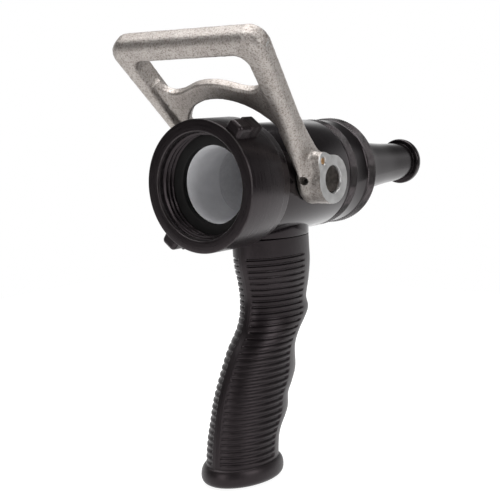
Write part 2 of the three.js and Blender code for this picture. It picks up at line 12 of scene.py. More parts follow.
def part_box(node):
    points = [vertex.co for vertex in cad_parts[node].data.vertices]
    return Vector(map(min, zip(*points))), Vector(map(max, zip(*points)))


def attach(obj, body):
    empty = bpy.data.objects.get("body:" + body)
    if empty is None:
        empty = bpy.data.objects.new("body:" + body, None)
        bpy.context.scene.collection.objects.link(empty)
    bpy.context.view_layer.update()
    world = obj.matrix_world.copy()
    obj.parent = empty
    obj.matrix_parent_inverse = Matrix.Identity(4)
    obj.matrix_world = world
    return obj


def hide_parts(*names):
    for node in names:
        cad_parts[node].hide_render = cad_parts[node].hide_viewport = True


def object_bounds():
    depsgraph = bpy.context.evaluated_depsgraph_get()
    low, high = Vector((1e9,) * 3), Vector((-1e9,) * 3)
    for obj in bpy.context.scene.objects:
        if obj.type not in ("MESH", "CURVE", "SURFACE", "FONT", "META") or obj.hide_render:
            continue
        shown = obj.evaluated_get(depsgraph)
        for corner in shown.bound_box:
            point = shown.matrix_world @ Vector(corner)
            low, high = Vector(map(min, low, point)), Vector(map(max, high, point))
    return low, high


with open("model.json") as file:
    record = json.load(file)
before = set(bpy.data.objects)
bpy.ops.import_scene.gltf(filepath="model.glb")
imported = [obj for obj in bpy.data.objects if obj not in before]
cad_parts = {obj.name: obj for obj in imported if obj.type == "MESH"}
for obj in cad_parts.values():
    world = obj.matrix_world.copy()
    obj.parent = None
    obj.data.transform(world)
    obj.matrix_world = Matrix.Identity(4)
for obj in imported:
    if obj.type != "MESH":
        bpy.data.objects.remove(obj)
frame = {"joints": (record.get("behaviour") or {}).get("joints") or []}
CAD_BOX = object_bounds()

# ---- the object's frame, from the CAD ----
MM = 0.001
JOINTS = {joint["name"]: joint for joint in frame["joints"]}
PIVOT = Vector(JOINTS["bail_hinge"]["pos_m"])
INLET = Vector((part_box("inlet_coupling")[0].x, 0.0, PIVOT.z))
PIVOT_X = (PIVOT.x - INLET.x) / MM
BAIL_LEAN = math.radians(41.3)
ROOT = "valve_and_grip"
BAIL_BODY = "bail_and_ball"
SWIVEL = "swivel_coupling"

WATERWAY = Matrix.Translation(INLET) @ Matrix.Scale(MM, 4)
VALVE = Matrix.Translation(PIVOT) @ Matrix.Scale(MM, 4)
BAIL = Matrix.Translation(PIVOT) @ Matrix.Rotation(-BAIL_LEAN, 4, "Y") @ Matrix.Scale(MM, 4)
GRIP = Matrix.Scale(MM, 4)
TURN_TO_Y = Matrix.Rotation(math.pi / 2, 4, "Z")


# ---- small numeric tools ----
def value_noise(points, seed=0):
    """Smooth repeatable noise from 0 to 1 at each of N points."""
    cell = np.floor(points).astype(np.int64)
    part = points - cell
    part = part * part * (3 - 2 * part)
    total = np.zeros(len(points))
    for dx in (0, 1):
        for dy in (0, 1):
            for dz in (0, 1):
                key = (cell[:, 0] + dx) * 374761393 + (cell[:, 1] + dy) * 668265263
                key = (key + (cell[:, 2] + dz) * 1440662683 + seed * 97531) & 0xFFFFFFFF
                key = ((key ^ (key >> 13)) * 1274126177) & 0xFFFFFFFF
                level = ((key ^ (key >> 16)) & 0xFFFF) / 65535.0
                weight = np.where(dx, part[:, 0], 1 - part[:, 0])
                weight = weight * np.where(dy, part[:, 1], 1 - part[:, 1])
                weight = weight * np.where(dz, part[:, 2], 1 - part[:, 2])
                total += weight * level
    return total


def smooth_step(low, high, value):
    t = np.clip((value - low) / (high - low), 0, 1)
    return t * t * (3 - 2 * t)


def spline(points, heights):
    """A Catmull-Rom curve through (value, height) points, read at the given heights."""
    points = np.array(points, float)
    padded = np.vstack([points[0], points, points[-1]])
    samples = []
    t = np.linspace(0, 1, 24, endpoint=False)[:, None]
    for a, b, c, d in zip(padded, padded[1:], padded[2:], padded[3:]):
        samples.append(0.5 * (2 * b + (c - a) * t + (2 * a - 5 * b + 4 * c - d) * t ** 2
                              + (3 * b - a - 3 * c + d) * t ** 3))
    samples = np.vstack(samples + [points[-1:]])
    return np.interp(heights, samples[:, 1], samples[:, 0])


# ---- mesh tools ----
LARGEST_WORN_FILLET = 1.0
FILLET_SHARE = 0.45


def linked(name, data):
    """A new object in the scene that holds the data."""
    made = bpy.data.objects.new(name, data)
    bpy.context.scene.collection.objects.link(made)
    return made


def new_object(name, vertices, faces, matrix, edge=None):
    """An object placed by matrix. Each point's given value is its wear, or on the casting a mask of painted
    shade.
    """
    mesh = bpy.data.meshes.new(name)
    quads = faces.tolist() if isinstance(faces, np.ndarray) else faces
    mesh.from_pydata(np.asarray(vertices).tolist(), [], quads)
    mesh.transform(matrix)
    if edge is not None:
        layer = mesh.attributes.new("edge", "FLOAT", "POINT")
        layer.data.foreach_set("value", np.asarray(edge, np.float32))
    return linked(name, mesh)


def face_outward(thing):
    """Turns the faces of a closed mesh outward."""
    mesh = bmesh.new()
    mesh.from_mesh(thing.data)
    bmesh.ops.recalc_face_normals(mesh, faces=mesh.faces)
    mesh.to_mesh(thing.data)
    mesh.free()
    return thing


def boolean(thing, tool, operation):
    """Changes thing by tool, and drops the tool."""
    step = thing.modifiers.new("boolean", "BOOLEAN")
    step.operation = operation
    step.solver = "EXACT"
    step.object = tool
    bpy.context.view_layer.update()
    graph = bpy.context.evaluated_depsgraph_get()
    made = bpy.data.meshes.new_from_object(thing.evaluated_get(graph))
    thing.modifiers.clear()
    thing.data = made
    bpy.data.objects.remove(tool)


def cut(thing, tool):
    boolean(thing, tool, "DIFFERENCE")


def join(thing, tool):
    boolean(thing, tool, "UNION")


def finished(thing, body, nodes, material, sharp=38.0):
    """Gives a piece its material, its body and the CAD nodes it stands for."""
    thing.data.materials.clear()
    for one in material if isinstance(material, (list, tuple)) else [material]:
        thing.data.materials.append(one)
    for polygon in thing.data.polygons:
        polygon.use_smooth = True
    thing.data.set_sharp_from_angle(angle=math.radians(sharp))
    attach(thing, body)
    if nodes:
        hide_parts(*nodes)


def rounded(corners, steps=3):
    """A closed outline of (x, radius, fillet) corners, as points and their wear: 1 inside a small fillet."""
    points, edge = [], []
    count = len(corners)
    for i, (x, r, fillet) in enumerate(corners):
        here = np.array((x, r), float)
        if fillet <= 0:
            points.append(here)
            edge.append(0.0)
            continue
        before = np.array(corners[i - 1][:2], float) - here
        after = np.array(corners[(i + 1) % count][:2], float) - here
        reach_before, reach_after = np.linalg.norm(before), np.linalg.norm(after)
        reach = min(fillet, FILLET_SHARE * reach_before, FILLET_SHARE * reach_after)
        start = here + before / reach_before * reach
        end = here + after / reach_after * reach
        for k in range(steps + 1):
            t = k / steps
            points.append((1 - t) ** 2 * start + 2 * t * (1 - t) * here + t * t * end)
            edge.append(1.0 if 0 < k < steps and fillet < LARGEST_WORN_FILLET else 0.0)
    return np.array(points), np.array(edge)


def lathe(name, corners, matrix=WATERWAY, sides=192):
    """A ring turned about the X axis from (x, radius, fillet) corners."""
    outline, edge = rounded(corners)
    return lathe_points(name, outline, edge, matrix, sides)


def lathe_points(name, outline, edge, matrix=WATERWAY, sides=192):
    """A ring turned about the X axis from the points of a closed outline."""
    faces = grid_faces(len(outline), sides, True)
    vertices = turned_points(outline, sides)
    return face_outward(new_object(name, vertices, faces, matrix, np.repeat(edge, sides)))


def turned_points(outline, sides):
    angle = np.arange(sides) * 2 * math.pi / sides
    x = np.repeat(outline[:, 0], sides)
    r = np.repeat(outline[:, 1], sides)
    a = np.tile(angle, len(outline))
    return np.column_stack((x, r * np.cos(a), r * np.sin(a)))


def grid_faces(rows, sides, closed_rows):
    """Quads of a grid that closes round its sides, and also from its last row to its first if asked."""
    i = np.arange(rows if closed_rows else rows - 1)
    j = np.arange(sides)
    i, j = np.meshgrid(i, j, indexing="ij")
    below, next_side = (i + 1) % rows, (j + 1) % sides
    quads = [i * sides + j, i * sides + next_side, below * sides + next_side, below * sides + j]
    return np.stack(quads, axis=-1).reshape(-1, 4)


def capped_faces(rows, sides):
    """The faces of a grid that closes round its sides, with its first and last rows filled."""
    first_cap = list(range(sides))
    last_cap = list(range((rows - 1) * sides, rows * sides))
    return grid_faces(rows, sides, False).tolist() + [first_cap, last_cap]


def solid_turned(name, corners, matrix, sides=96):
    """A solid turned about X, with flat ends across the axis."""
    outline, edge = rounded([(corners[0][0], 0.0, 0.0), *corners, (corners[-1][0], 0.0, 0.0)])
    outline, edge = outline[1:-1], edge[1:-1]
    faces = capped_faces(len(outline), sides)
    vertices = turned_points(outline, sides)
    return face_outward(new_object(name, vertices, faces, matrix, np.repeat(edge, sides)))


def prism(name, outline, low, high, matrix, bevel=0.0):
    """An outline in X and Y, extruded along Z, with its rims bevelled if asked."""
    outline = np.array(outline, float)
    count = len(outline)
    vertices = np.vstack([np.column_stack((outline, np.full(count, low))),
                          np.column_stack((outline, np.full(count, high)))])
    made = face_outward(new_object(name, vertices, capped_faces(2, count), matrix))
    if bevel:
        mesh = bmesh.new()
        mesh.from_mesh(made.data)
        caps = [f for f in mesh.faces if len(f.verts) == count]
        edges = list({e for f in caps for e in f.edges})
        bmesh.ops.bevel(mesh, geom=edges, offset=bevel * MM, segments=2, affect="EDGES", profile=0.5)
        mesh.to_mesh(made.data)
        mesh.free()
    return made


def block(name, low, high, matrix):
    outline = [(low[0], low[1]), (high[0], low[1]), (high[0], high[1]), (low[0], high[1])]
    return prism(name, outline, low[2], high[2], matrix)


def circle(radius, sides):
    angle = np.arange(sides) * 2 * math.pi / sides
    return np.column_stack((radius * np.cos(angle), radius * np.sin(angle)))


def hex_socket(thing, radius, start, end, axis):
    """Cuts a key's socket along a fixing's X axis."""
    tool = prism("socket", circle(radius, 6), start, end, axis @ Matrix.Rotation(math.pi / 2, 4, "Y"))
    cut(thing, tool)


# ---- shapes from distance fields ----
def polygon_distance(outline, x, y):
    """Signed distance from points to a closed outline, negative inside."""
    outline = np.array(outline, float)
    shape = np.broadcast(x, y).shape
    x = np.broadcast_to(x, shape)
    y = np.broadcast_to(y, shape)
    nearest = np.full(shape, 1e9)
    inside = np.zeros(shape, bool)
    for a, b in zip(outline, np.roll(outline, -1, axis=0)):
        ex, ey = b - a
        wx, wy = x - a[0], y - a[1]
        t = np.clip((wx * ex + wy * ey) / (ex * ex + ey * ey), 0, 1)
        nearest = np.minimum(nearest, (wx - ex * t) ** 2 + (wy - ey * t) ** 2)
        crosses = (a[1] > y) != (b[1] > y)
        if ey:
            inside ^= crosses & (x < a[0] + (y - a[1]) * ex / ey)
    return np.where(inside, -1, 1) * np.sqrt(nearest)


def thick(flat, across, round_edge):
    """A flat shape's distance given a thickness, with its rims rounded."""
    a, b = flat + round_edge, across + round_edge
    outside = np.sqrt(np.maximum(a, 0) ** 2 + np.maximum(b, 0) ** 2)
    return outside + np.minimum(np.maximum(a, b), 0) - round_edge


def melt(a, b, reach):
    """The union of two distances with a fillet between them."""
    h = np.clip(0.5 + 0.5 * (b - a) / reach, 0, 1)
    return b * (1 - h) + a * h - reach * h * (1 - h)


def field_mesh(distance, low, high, step):
    """The zero surface of a distance field, as points and quads, by surface nets."""
    axes = [np.arange(low[i], high[i] + step, step) for i in range(3)]
    x, y, z = np.meshgrid(*axes, indexing="ij", sparse=True)
    field = distance(x, y, z).astype(np.float32)
    cells = tuple(n - 1 for n in field.shape)
    total = np.zeros(cells + (3,), np.float32)
    count = np.zeros(cells, np.float32)

    def corner(offset):
        return field[tuple(slice(o, o + n) for o, n in zip(offset, cells))]

    for axis in range(3):
        others = [i for i in range(3) if i != axis]
        for p in (0, 1):
            for q in (0, 1):
                start = [0, 0, 0]
                start[others[0]], start[others[1]] = p, q
                end = list(start)
                end[axis] = 1
                a, b = corner(start), corner(end)
                crossing = (a < 0) != (b < 0)
                t = np.where(crossing, a / np.where(crossing, a - b, 1), 0)
                for i in range(3):
                    total[..., i] += np.where(crossing, t if i == axis else start[i], 0)
                count += crossing
    active = count > 0
    number = np.full(cells, -1, np.int64)
    number[active] = np.arange(active.sum())
    place = np.argwhere(active) + total[active] / count[active][:, None]
    vertices = place * step + np.array(low)
    quads = []
    for axis in range(3):
        i, j, k = axis, (axis + 1) % 3, (axis + 2) % 3
        here = [slice(None)] * 3
        here[i] = slice(0, -1)
        there = [slice(None)] * 3
        there[i] = slice(1, None)
        a, b = field[tuple(here)], field[tuple(there)]
        hits = np.argwhere((a < 0) != (b < 0))
        inner = (hits[:, j] > 0) & (hits[:, k] > 0) & (hits[:, j] < field.shape[j] - 1)
        hits = hits[inner & (hits[:, k] < field.shape[k] - 1)]
        flip = a[tuple(hits.T)] < 0
        ring = []
        for dj, dk in ((1, 1), (0, 1), (0, 0), (1, 0)):
            cell = hits.copy()
            cell[:, j] -= dj
            cell[:, k] -= dk
            ring.append(number[tuple(cell.T)])
        ring = np.column_stack(ring)
        quads.append(np.where(flip[:, None], ring, ring[:, ::-1]))
    return vertices, np.vstack(quads)


def field_normal(distance, points, reach=0.05):
    columns = []
    for i in range(3):
        shift = np.zeros(3)
        shift[i] = reach
        columns.append(distance(*(points + shift).T) - distance(*(points - shift).T))
    normal = np.column_stack(columns)
    return normal / np.maximum(np.linalg.norm(normal, axis=1, keepdims=True), 1e-9)


def settle(distance, points, rounds=2, longest=0.4):
    """Moves the points of a field's mesh on to its zero surface."""
    for _ in range(rounds):
        normal = field_normal(distance, points)
        points = points - normal * np.clip(distance(*points.T), -longest, longest)[:, None]
    return points


# ---- materials ----
RING_DRIFT = 0.0012
WARM = (1.0, 0.85, 0.9)
BARE_METAL = (0.16, 0.155, 0.15)


def with_alpha(value):
    """A colour as a material input takes it. A socket stays as it is."""
    return value if isinstance(value, bpy.types.NodeSocket) else (*value, 1.0)


class Nodes:
    """Short names for building a material."""

    def __init__(self, name):
        self.material = bpy.data.materials.new(name)
        self.material.use_nodes = True
        self.tree = self.material.node_tree
        self.shader = self.tree.nodes["Principled BSDF"]
        self.place = self.add("ShaderNodeTexCoord").outputs["Object"]

    def add(self, kind, **settings):
        node = self.tree.nodes.new(kind)
        for key, value in settings.items():
            setattr(node, key, value)
        return node

    def link(self, source, target):
        self.tree.links.new(source, target)

    def feed(self, socket, value):
        if isinstance(value, bpy.types.NodeSocket):
            self.link(value, socket)
        else:
            socket.default_value = value

    def math(self, operation, a, b=0.0):
        node = self.add("ShaderNodeMath", operation=operation)
        for socket, value in zip(node.inputs, (a, b)):
            self.feed(socket, value)
        return node.outputs[0]

    def noise(self, scale, detail=3.0, rough=0.55, vector=None):
        node = self.add("ShaderNodeTexNoise")
        self.link(vector or self.place, node.inputs["Vector"])
        node.inputs["Scale"].default_value = scale
        node.inputs["Detail"].default_value = detail
        node.inputs["Roughness"].default_value = rough
        return node.outputs["Fac"]

    def levels(self, value, low, high, out_low=0.0, out_high=1.0):
        node = self.add("ShaderNodeMapRange")
        for socket, number in zip(node.inputs, (value, low, high, out_low, out_high)):
            self.feed(socket, number)
        return node.outputs[0]

    def blend(self, factor, a, b):
        node = self.add("ShaderNodeMix", data_type="RGBA")
        self.feed(node.inputs[0], factor)
        self.feed(node.inputs[6], with_alpha(a))
        self.feed(node.inputs[7], with_alpha(b))
        return node.outputs[2]

    def mottled(self, cloud, dark, light, low=0.35, high=0.65):
        """A colour that drifts from dark to light with a slow noise."""
        return self.blend(self.levels(cloud, low, high), dark, light)

    def uneven(self, a, b, low, high):
        """A value from low to high that follows two noises together."""
        return self.levels(self.math("ADD", a, b), 0.7, 1.3, low, high)

    def bump(self, height, distance, normal=None):
        node = self.add("ShaderNodeBump")
        node.inputs["Strength"].default_value = 1.0
        node.inputs["Distance"].default_value = distance * MM
        self.link(height, node.inputs["Height"])
        if normal is not None:
            self.link(normal, node.inputs["Normal"])
        return node.outputs["Normal"]

    def edge(self):
        node = self.add("ShaderNodeAttribute", attribute_name="edge")
        return node.outputs["Fac"]

    def turned(self, centre, axis):
        """Coordinates that only change along and away from a turning axis, with a slow drift round it."""
        split = self.add("ShaderNodeSeparateXYZ")
        self.link(self.place, split.inputs[0])
        along = split.outputs["X" if axis == "X" else "Y"]
        other = split.outputs["Y" if axis == "X" else "X"]
        across = self.math("SUBTRACT", other, centre[1] if axis == "X" else centre[0])
        up = self.math("SUBTRACT", split.outputs["Z"], centre[2])
        squares = self.math("ADD", self.math("MULTIPLY", across, across), self.math("MULTIPLY", up, up))
        join = self.add("ShaderNodeCombineXYZ")
        self.link(along, join.inputs[0])
        self.link(self.math("SQRT", squares), join.inputs[1])
        self.link(self.math("MULTIPLY", self.math("ARCTAN2", up, across), RING_DRIFT), join.inputs[2])
        return join.outputs[0]

    def done(self, colour, metallic, roughness, normal=None, specular=0.5, tint=(1, 1, 1)):
        shader = self.shader
        self.feed(shader.inputs["Base Color"], with_alpha(colour))
        self.feed(shader.inputs["Metallic"], metallic)
        self.feed(shader.inputs["Roughness"], roughness)
        shader.inputs["Specular IOR Level"].default_value = specular
        shader.inputs["Specular Tint"].default_value = (*tint, 1.0)
        if normal is not None:
            self.link(normal, shader.inputs["Normal"])
        return self.material


def anodised(name, dark, light, low_rough, high_rough, marks, specks=0.45, wear=0.2, specular=0.37):
    """Black anodised aluminium, turned on a lathe about the waterway."""
    n = Nodes(name)
    lathe_marks = n.turned(INLET, "X")
    fine = n.noise(2600, 2, 0.6, lathe_marks)
    bands = n.noise(1300, 4, 0.65, lathe_marks)
    grit = n.noise(1500, 2, 0.7)
    colour = n.mottled(bands, dark, light)
    colour = n.blend(n.math("MULTIPLY", n.levels(grit, 0.7, 0.78), specks), colour, BARE_METAL)
    worn = n.math("MULTIPLY", n.edge(), n.levels(n.noise(300, 3), 0.36, 0.6, 0.3, 1.0))
    colour = n.blend(n.math("MULTIPLY", worn, wear), colour, BARE_METAL)
    rough = n.levels(fine, 0.3, 0.7, low_rough, high_rough)
    normal = n.bump(grit, marks * 0.5, n.bump(fine, marks))
    return n.done(colour, 0.0, rough, normal, specular, WARM)


def cast(name):
    """Sand-cast aluminium: fine pebbly grain with dirt in its pits, and painted shade where the mesh's mask
    marks the recessed web.
    """
    n = Nodes(name)
    pebble = n.noise(1150, 3, 0.65)
    grain = n.noise(2500, 2, 0.6)
    broad = n.noise(140, 4, 0.6)
    colour = n.mottled(broad, (0.32, 0.286, 0.264), (0.42, 0.384, 0.36))
    colour = n.blend(n.levels(grain, 0.42, 0.66, 0.0, 0.7), colour, (0.5, 0.475, 0.45))
    dark_pits = n.levels(pebble, 0.34, 0.52, 1.0, 0.0)
    colour = n.blend(n.math("MULTIPLY", dark_pits, 0.7), colour, (0.12, 0.094, 0.078))
    # Painted shade: darker where the mesh's mask marks the recessed web.
    colour = n.blend(n.math("MULTIPLY", n.edge(), 0.38), colour, (0.13, 0.108, 0.095))
    rough = n.levels(pebble, 0.3, 0.7, 0.5, 0.32)
    normal = n.bump(grain, 0.1, n.bump(pebble, 0.3))
    return n.done(colour, 0.88, rough, normal)


def machined(name):
    """Freshly faced aluminium with rings left by the cutter."""
    n = Nodes(name)
    rings = n.turned(PIVOT, "Y")
    fine = n.noise(2400, 2, 0.6, rings)
    cloud = n.noise(240, 3)
    colour = n.mottled(cloud, (0.5, 0.495, 0.49), (0.6, 0.595, 0.59))
    rough = n.uneven(fine, cloud, 0.34, 0.5)
    normal = n.bump(n.noise(1300, 2), 0.012, n.bump(fine, 0.02))
    return n.done(colour, 0.9, rough, normal)


def polymer(name):
    """Black moulded polymer with a faint leathery grain."""
    n = Nodes(name)
    grain = n.noise(1600, 3, 0.6)
    cloud = n.noise(60, 4, 0.6)
    dust = n.levels(n.noise(2400, 2, 0.8), 0.72, 0.8)
    colour = n.mottled(cloud, (0.0065, 0.0052, 0.0056), (0.0105, 0.0085, 0.0092))
    colour = n.blend(n.math("MULTIPLY", dust, 0.12), colour, (0.2, 0.2, 0.2))
    rough = n.uneven(grain, cloud, 0.34, 0.46)
    normal = n.bump(n.noise(320, 3), 0.05, n.bump(grain, 0.03))
    return n.done(colour, 0.0, rough, normal, specular=0.34, tint=WARM)


def metal(name, dark, light, low_rough, high_rough, centre, axis, marks=0.015, metallic=1.0):
    """Turned metal with rings about an axis through the centre given."""
    n = Nodes(name)
    rings = n.turned(centre, axis)
    fine = n.noise(2600, 2, 0.6, rings)
    cloud = n.noise(420, 4, 0.6)
    colour = n.mottled(cloud, dark, light, 0.38, 0.62)
    worn = n.math("MULTIPLY", n.edge(), 0.35)
    colour = n.blend(worn, colour, tuple(min(1.0, 1.5 * c) for c in light))
    rough = n.uneven(fine, cloud, low_rough, high_rough)
    normal = n.bump(n.noise(1700, 3), 0.008, n.bump(fine, marks))
    return n.done(colour, metallic, rough, normal)


def rubber(name):
    n = Nodes(name)
    grain = n.noise(1900, 3, 0.7)
    bloom = n.noise(150, 3)
    colour = n.mottled(bloom, (0.006, 0.0055, 0.0055), (0.011, 0.0102, 0.0102), 0.4)
    rough = n.levels(bloom, 0.3, 0.7, 0.62, 0.8)
    return n.done(colour, 0.0, rough, n.bump(grain, 0.03), specular=0.25)


def acetal(name):
    """Pale turned plastic."""
    n = Nodes(name)
    rings = n.turned(INLET, "X")
    fine = n.noise(1500, 2, 0.6, rings)
    cloud = n.noise(120, 3)
    colour = n.mottled(cloud, (0.74, 0.74, 0.76), (0.82, 0.82, 0.84))
    rough = n.uneven(fine, cloud, 0.38, 0.48)
    normal = n.bump(fine, 0.01)
    return n.done(colour, 0.0, rough, n.bump(n.noise(900, 2), 0.006, normal))


SMOOTH_BLACK = ((0.0045, 0.0036, 0.004), (0.007, 0.0058, 0.0063))
SATIN_BLACK = ((0.0055, 0.0042, 0.0047), (0.012, 0.0098, 0.0106))
BODY_BLACK = anodised("body_anodised", *SMOOTH_BLACK, 0.1, 0.16, 0.0015, specks=0.0, wear=0.1, specular=0.28)
COUPLING_BLACK = anodised("coupling_anodised", *SATIN_BLACK, 0.26, 0.36, 0.006)
TIP_BLACK = anodised("tip_anodised", *SMOOTH_BLACK, 0.12, 0.18, 0.001, specks=0.0, wear=0.5, specular=0.28)
CAST = cast("cast_aluminium")
MACHINED = machined("machined_aluminium")
POLYMER = polymer("grip_polymer")
RUBBER = rubber("black_rubber")
ACETAL = acetal("pale_acetal")
STAINLESS = metal("stainless_satin", (0.68, 0.68, 0.7), (0.76, 0.76, 0.78), 0.42, 0.52, INLET, "X", 0.01,
                  metallic=0.15)
STEM_STEEL = metal("stem_steel", (0.045, 0.037, 0.032), (0.085, 0.073, 0.064), 0.3, 0.42, PIVOT, "Y", 0.02)
DARK_STEEL = metal("dark_steel", (0.1, 0.095, 0.09), (0.17, 0.16, 0.15), 0.35, 0.5, PIVOT, "Y", 0.01)
BRONZE = metal("bronze", (0.36, 0.2, 0.09), (0.5, 0.3, 0.14), 0.3, 0.45, PIVOT, "Y")


# ---- inlet coupling ----
THREAD_PITCH = 25.4 / 9
THREAD_START, THREAD_END = 3.2, 10.3
THREAD_MINOR, THREAD_MAJOR = 24.2, 25.3
THREAD_FLAT = 0.25
MOUTH_END, MOUTH_RADIUS = 1.6, 25.5
RACE_X, RACE_RADIUS, RACE_ARC = 21.0, 26.5, 2.6
BALL_COUNT, BALL_RADIUS = 30, 2.38


def race_arc(start, end):
    """The section of the swivel's ball race between two angles, in degrees from downstream."""
    turn = np.radians(np.linspace(start, end, 14))
    return [(RACE_X + RACE_ARC * math.cos(t), RACE_RADIUS + RACE_ARC * math.sin(t), 0.0) for t in turn]


# From the gasket's seat, past the race, round the outside and back to the mouth. The thread closes it.
COUPLING_OUTLINE = [
    (THREAD_END, 26.65, 0.0), *race_arc(176.7, 3.3), (31.5, 26.65, 0.3), (31.5, 30.6, 0.5),
    (25.75, 30.6, 0.35), (25.3, 32.0, 0.35), (0.0, 32.0, 0.6), (0.0, 26.1, 0.4), (1.2, MOUTH_RADIUS, 0.3),
]


def coupling_shell():
    """The turned ring, with a helical thread cut in its mouth."""
    sides, rows = 288, 60
    outline, edge = rounded(COUPLING_OUTLINE)
    x = np.concatenate([outline[:, 0], np.linspace(MOUTH_END, THREAD_END, rows)])
    fixed = len(outline)
    angle = np.arange(sides) * 2 * math.pi / sides
    grid_x = np.repeat(x[:, None], sides, axis=1)
    radius = np.repeat(np.concatenate([outline[:, 1], np.zeros(rows)])[:, None], sides, axis=1)
    phase = (grid_x[fixed:] - THREAD_START) / THREAD_PITCH - angle[None, :] / (2 * math.pi)
    wave = np.abs((phase % 1.0) - 0.5) * 2
    groove = np.clip((wave - THREAD_FLAT) / (1 - 2 * THREAD_FLAT), 0, 1)
    thread = THREAD_MINOR + (THREAD_MAJOR - THREAD_MINOR) * groove
    start = smooth_step(THREAD_START - 0.2, THREAD_START + 1.0, grid_x[fixed:])
    radius[fixed:] = MOUTH_RADIUS + (thread - MOUTH_RADIUS) * start
    vertices = np.column_stack((grid_x.ravel(), (radius * np.cos(angle)).ravel(),
                                (radius * np.sin(angle)).ravel()))
    worn = np.concatenate([edge, np.zeros(rows)])
    return face_outward(new_object("inlet_coupling_visual", vertices, grid_faces(len(x), sides, True),
                                   WATERWAY, np.repeat(worn, sides)))


LUG_ANGLE = math.radians(38)
LUG_ROOT, LUG_TOP = 29.5, 37.6
LUG_BLOCK = [(-4.3, LUG_ROOT), (4.3, LUG_ROOT), (4.3, 31.3), (4.1, LUG_TOP), (-4.1, LUG_TOP), (-4.3, 31.3)]
NOSE_TOP, NOSE_ROUND = LUG_TOP - 2.4, 2.3
LUG_NOSE = [(-2.5, LUG_ROOT), (2.5, LUG_ROOT), (2.1, NOSE_TOP), (-2.1, NOSE_TOP)]


def lug_distance(x, t, r):
    """A rocker lug: a sharp wedge block behind a rounder nose, with a small step between them."""
    wedge = polygon_distance(LUG_BLOCK, t, r)
    nose = polygon_distance(LUG_NOSE, t, r) - NOSE_ROUND
    return np.minimum(thick(wedge, np.abs(x - 13.3) - 3.9, 0.3), thick(nose, np.abs(x - 6.2) - 5.0, 1.8))


def lug(turn):
    points, faces = field_mesh(lug_distance, (0.4, -6.0, 28.6), (18.2, 6.0, 38.6), 0.3)
    points = settle(lug_distance, points)
    matrix = WATERWAY @ Matrix.Rotation(turn, 4, "X")
    return face_outward(new_object("lug", points, faces, matrix))


def inlet_coupling():
    ring = coupling_shell()
    for turn in (LUG_ANGLE, LUG_ANGLE + math.pi):
        join(ring, lug(turn))
    feed = Matrix.Rotation(LUG_ANGLE, 4, "X") @ Matrix.Translation((RACE_X, 0, 0)) @ TURN_TO_Y
    hole = WATERWAY @ feed
    cut(ring, solid_turned("cut", [(28, 3.3, 0), (31.7, 3.3, 0), (33.5, 4.6, 0)], hole, 48))
    finished(ring, SWIVEL, ["inlet_coupling"], COUPLING_BLACK)
    plug = solid_turned("race_plug_visual", [(29.2, 3.0, 0), (31.3, 3.0, 0.4)], hole, 48)
    hex_socket(plug, 1.45, 30.0, 33.0, hole)
    finished(plug, SWIVEL, ["race_plug_screw"], DARK_STEEL)
    gasket = lathe("inlet_gasket_visual", [
        (10.6, 19.5, 0.5), (10.6, 26.2, 0.3), (13.8, 26.2, 0.3), (13.8, 19.0, 0.3), (11.1, 19.0, 0.5)])
    finished(gasket, SWIVEL, ["inlet_gasket"], RUBBER)


# ---- valve body ----
NECK_X, NECK_HALF_LENGTH, NECK_HALF_WIDTH = 56.3, 24.1, 15.6
SPOT_RADIUS = 14.6
STEM_BORE = [(20.0, 8.5, 0), (26.9, 8.5, 0), (27.9, 9.4, 0)]


def valve_body():
    """The turned body with its neck and tang, and the holes for the stems and the grip's bolt."""
    body = lathe("valve_body_visual", [
        (14.0, 21.6, 0.3), (14.0, 26.35, 0.5), *race_arc(183.3, 356.7), (31.8, 26.35, 0.0),
        (31.8, 28.1, 0.5), (87.4, 28.1, 0.5), (87.4, 24.6, 0.2), (36.0, 24.6, 0.5), (36.0, 21.6, 0.3),
    ], sides=256)
    oval = circle(1.0, 96) * (NECK_HALF_LENGTH, NECK_HALF_WIDTH) + (NECK_X, 0.0)
    neck = prism("neck", oval, -29.3, -18.0, WATERWAY, bevel=0.5)
    core = solid_turned("core", [(27.0, 26.9, 0), (88.0, 26.9, 0)], WATERWAY, 128)
    cut(neck, core)
    join(body, neck)
    tang = block("tang", (41.0, -7.0, -49.3), (65.0, 7.0, -29.0), WATERWAY)
    join(body, tang)
    cut(body, solid_turned("tapped", [(80.0, 3.25, 0), (116.3, 3.25, 0)], bolt_axis(), 48))
    for side in (1, -1):
        flat = VALVE @ Matrix.Rotation(side * math.pi / 2, 4, "Z")
        spot = solid_turned("spot", [(27.2, SPOT_RADIUS, 0), (32.0, SPOT_RADIUS, 0)], flat, 96)
        cut(body, spot)
        cut(body, solid_turned("bore", STEM_BORE, flat, 64))
    finished(body, ROOT, ["valve_body"], BODY_BLACK)


SEAT_SPHERE = 24.1
VALVE_BALL_RADIUS, VALVE_BALL_BORE = 24.0, 17.6


def seat_contact(side, radii):
    """The part of a seat that follows the ball, upstream (-1) or downstream (1)."""
    return [(PIVOT_X + side * math.sqrt(SEAT_SPHERE ** 2 - r ** 2), r, 0.0) for r in radii]


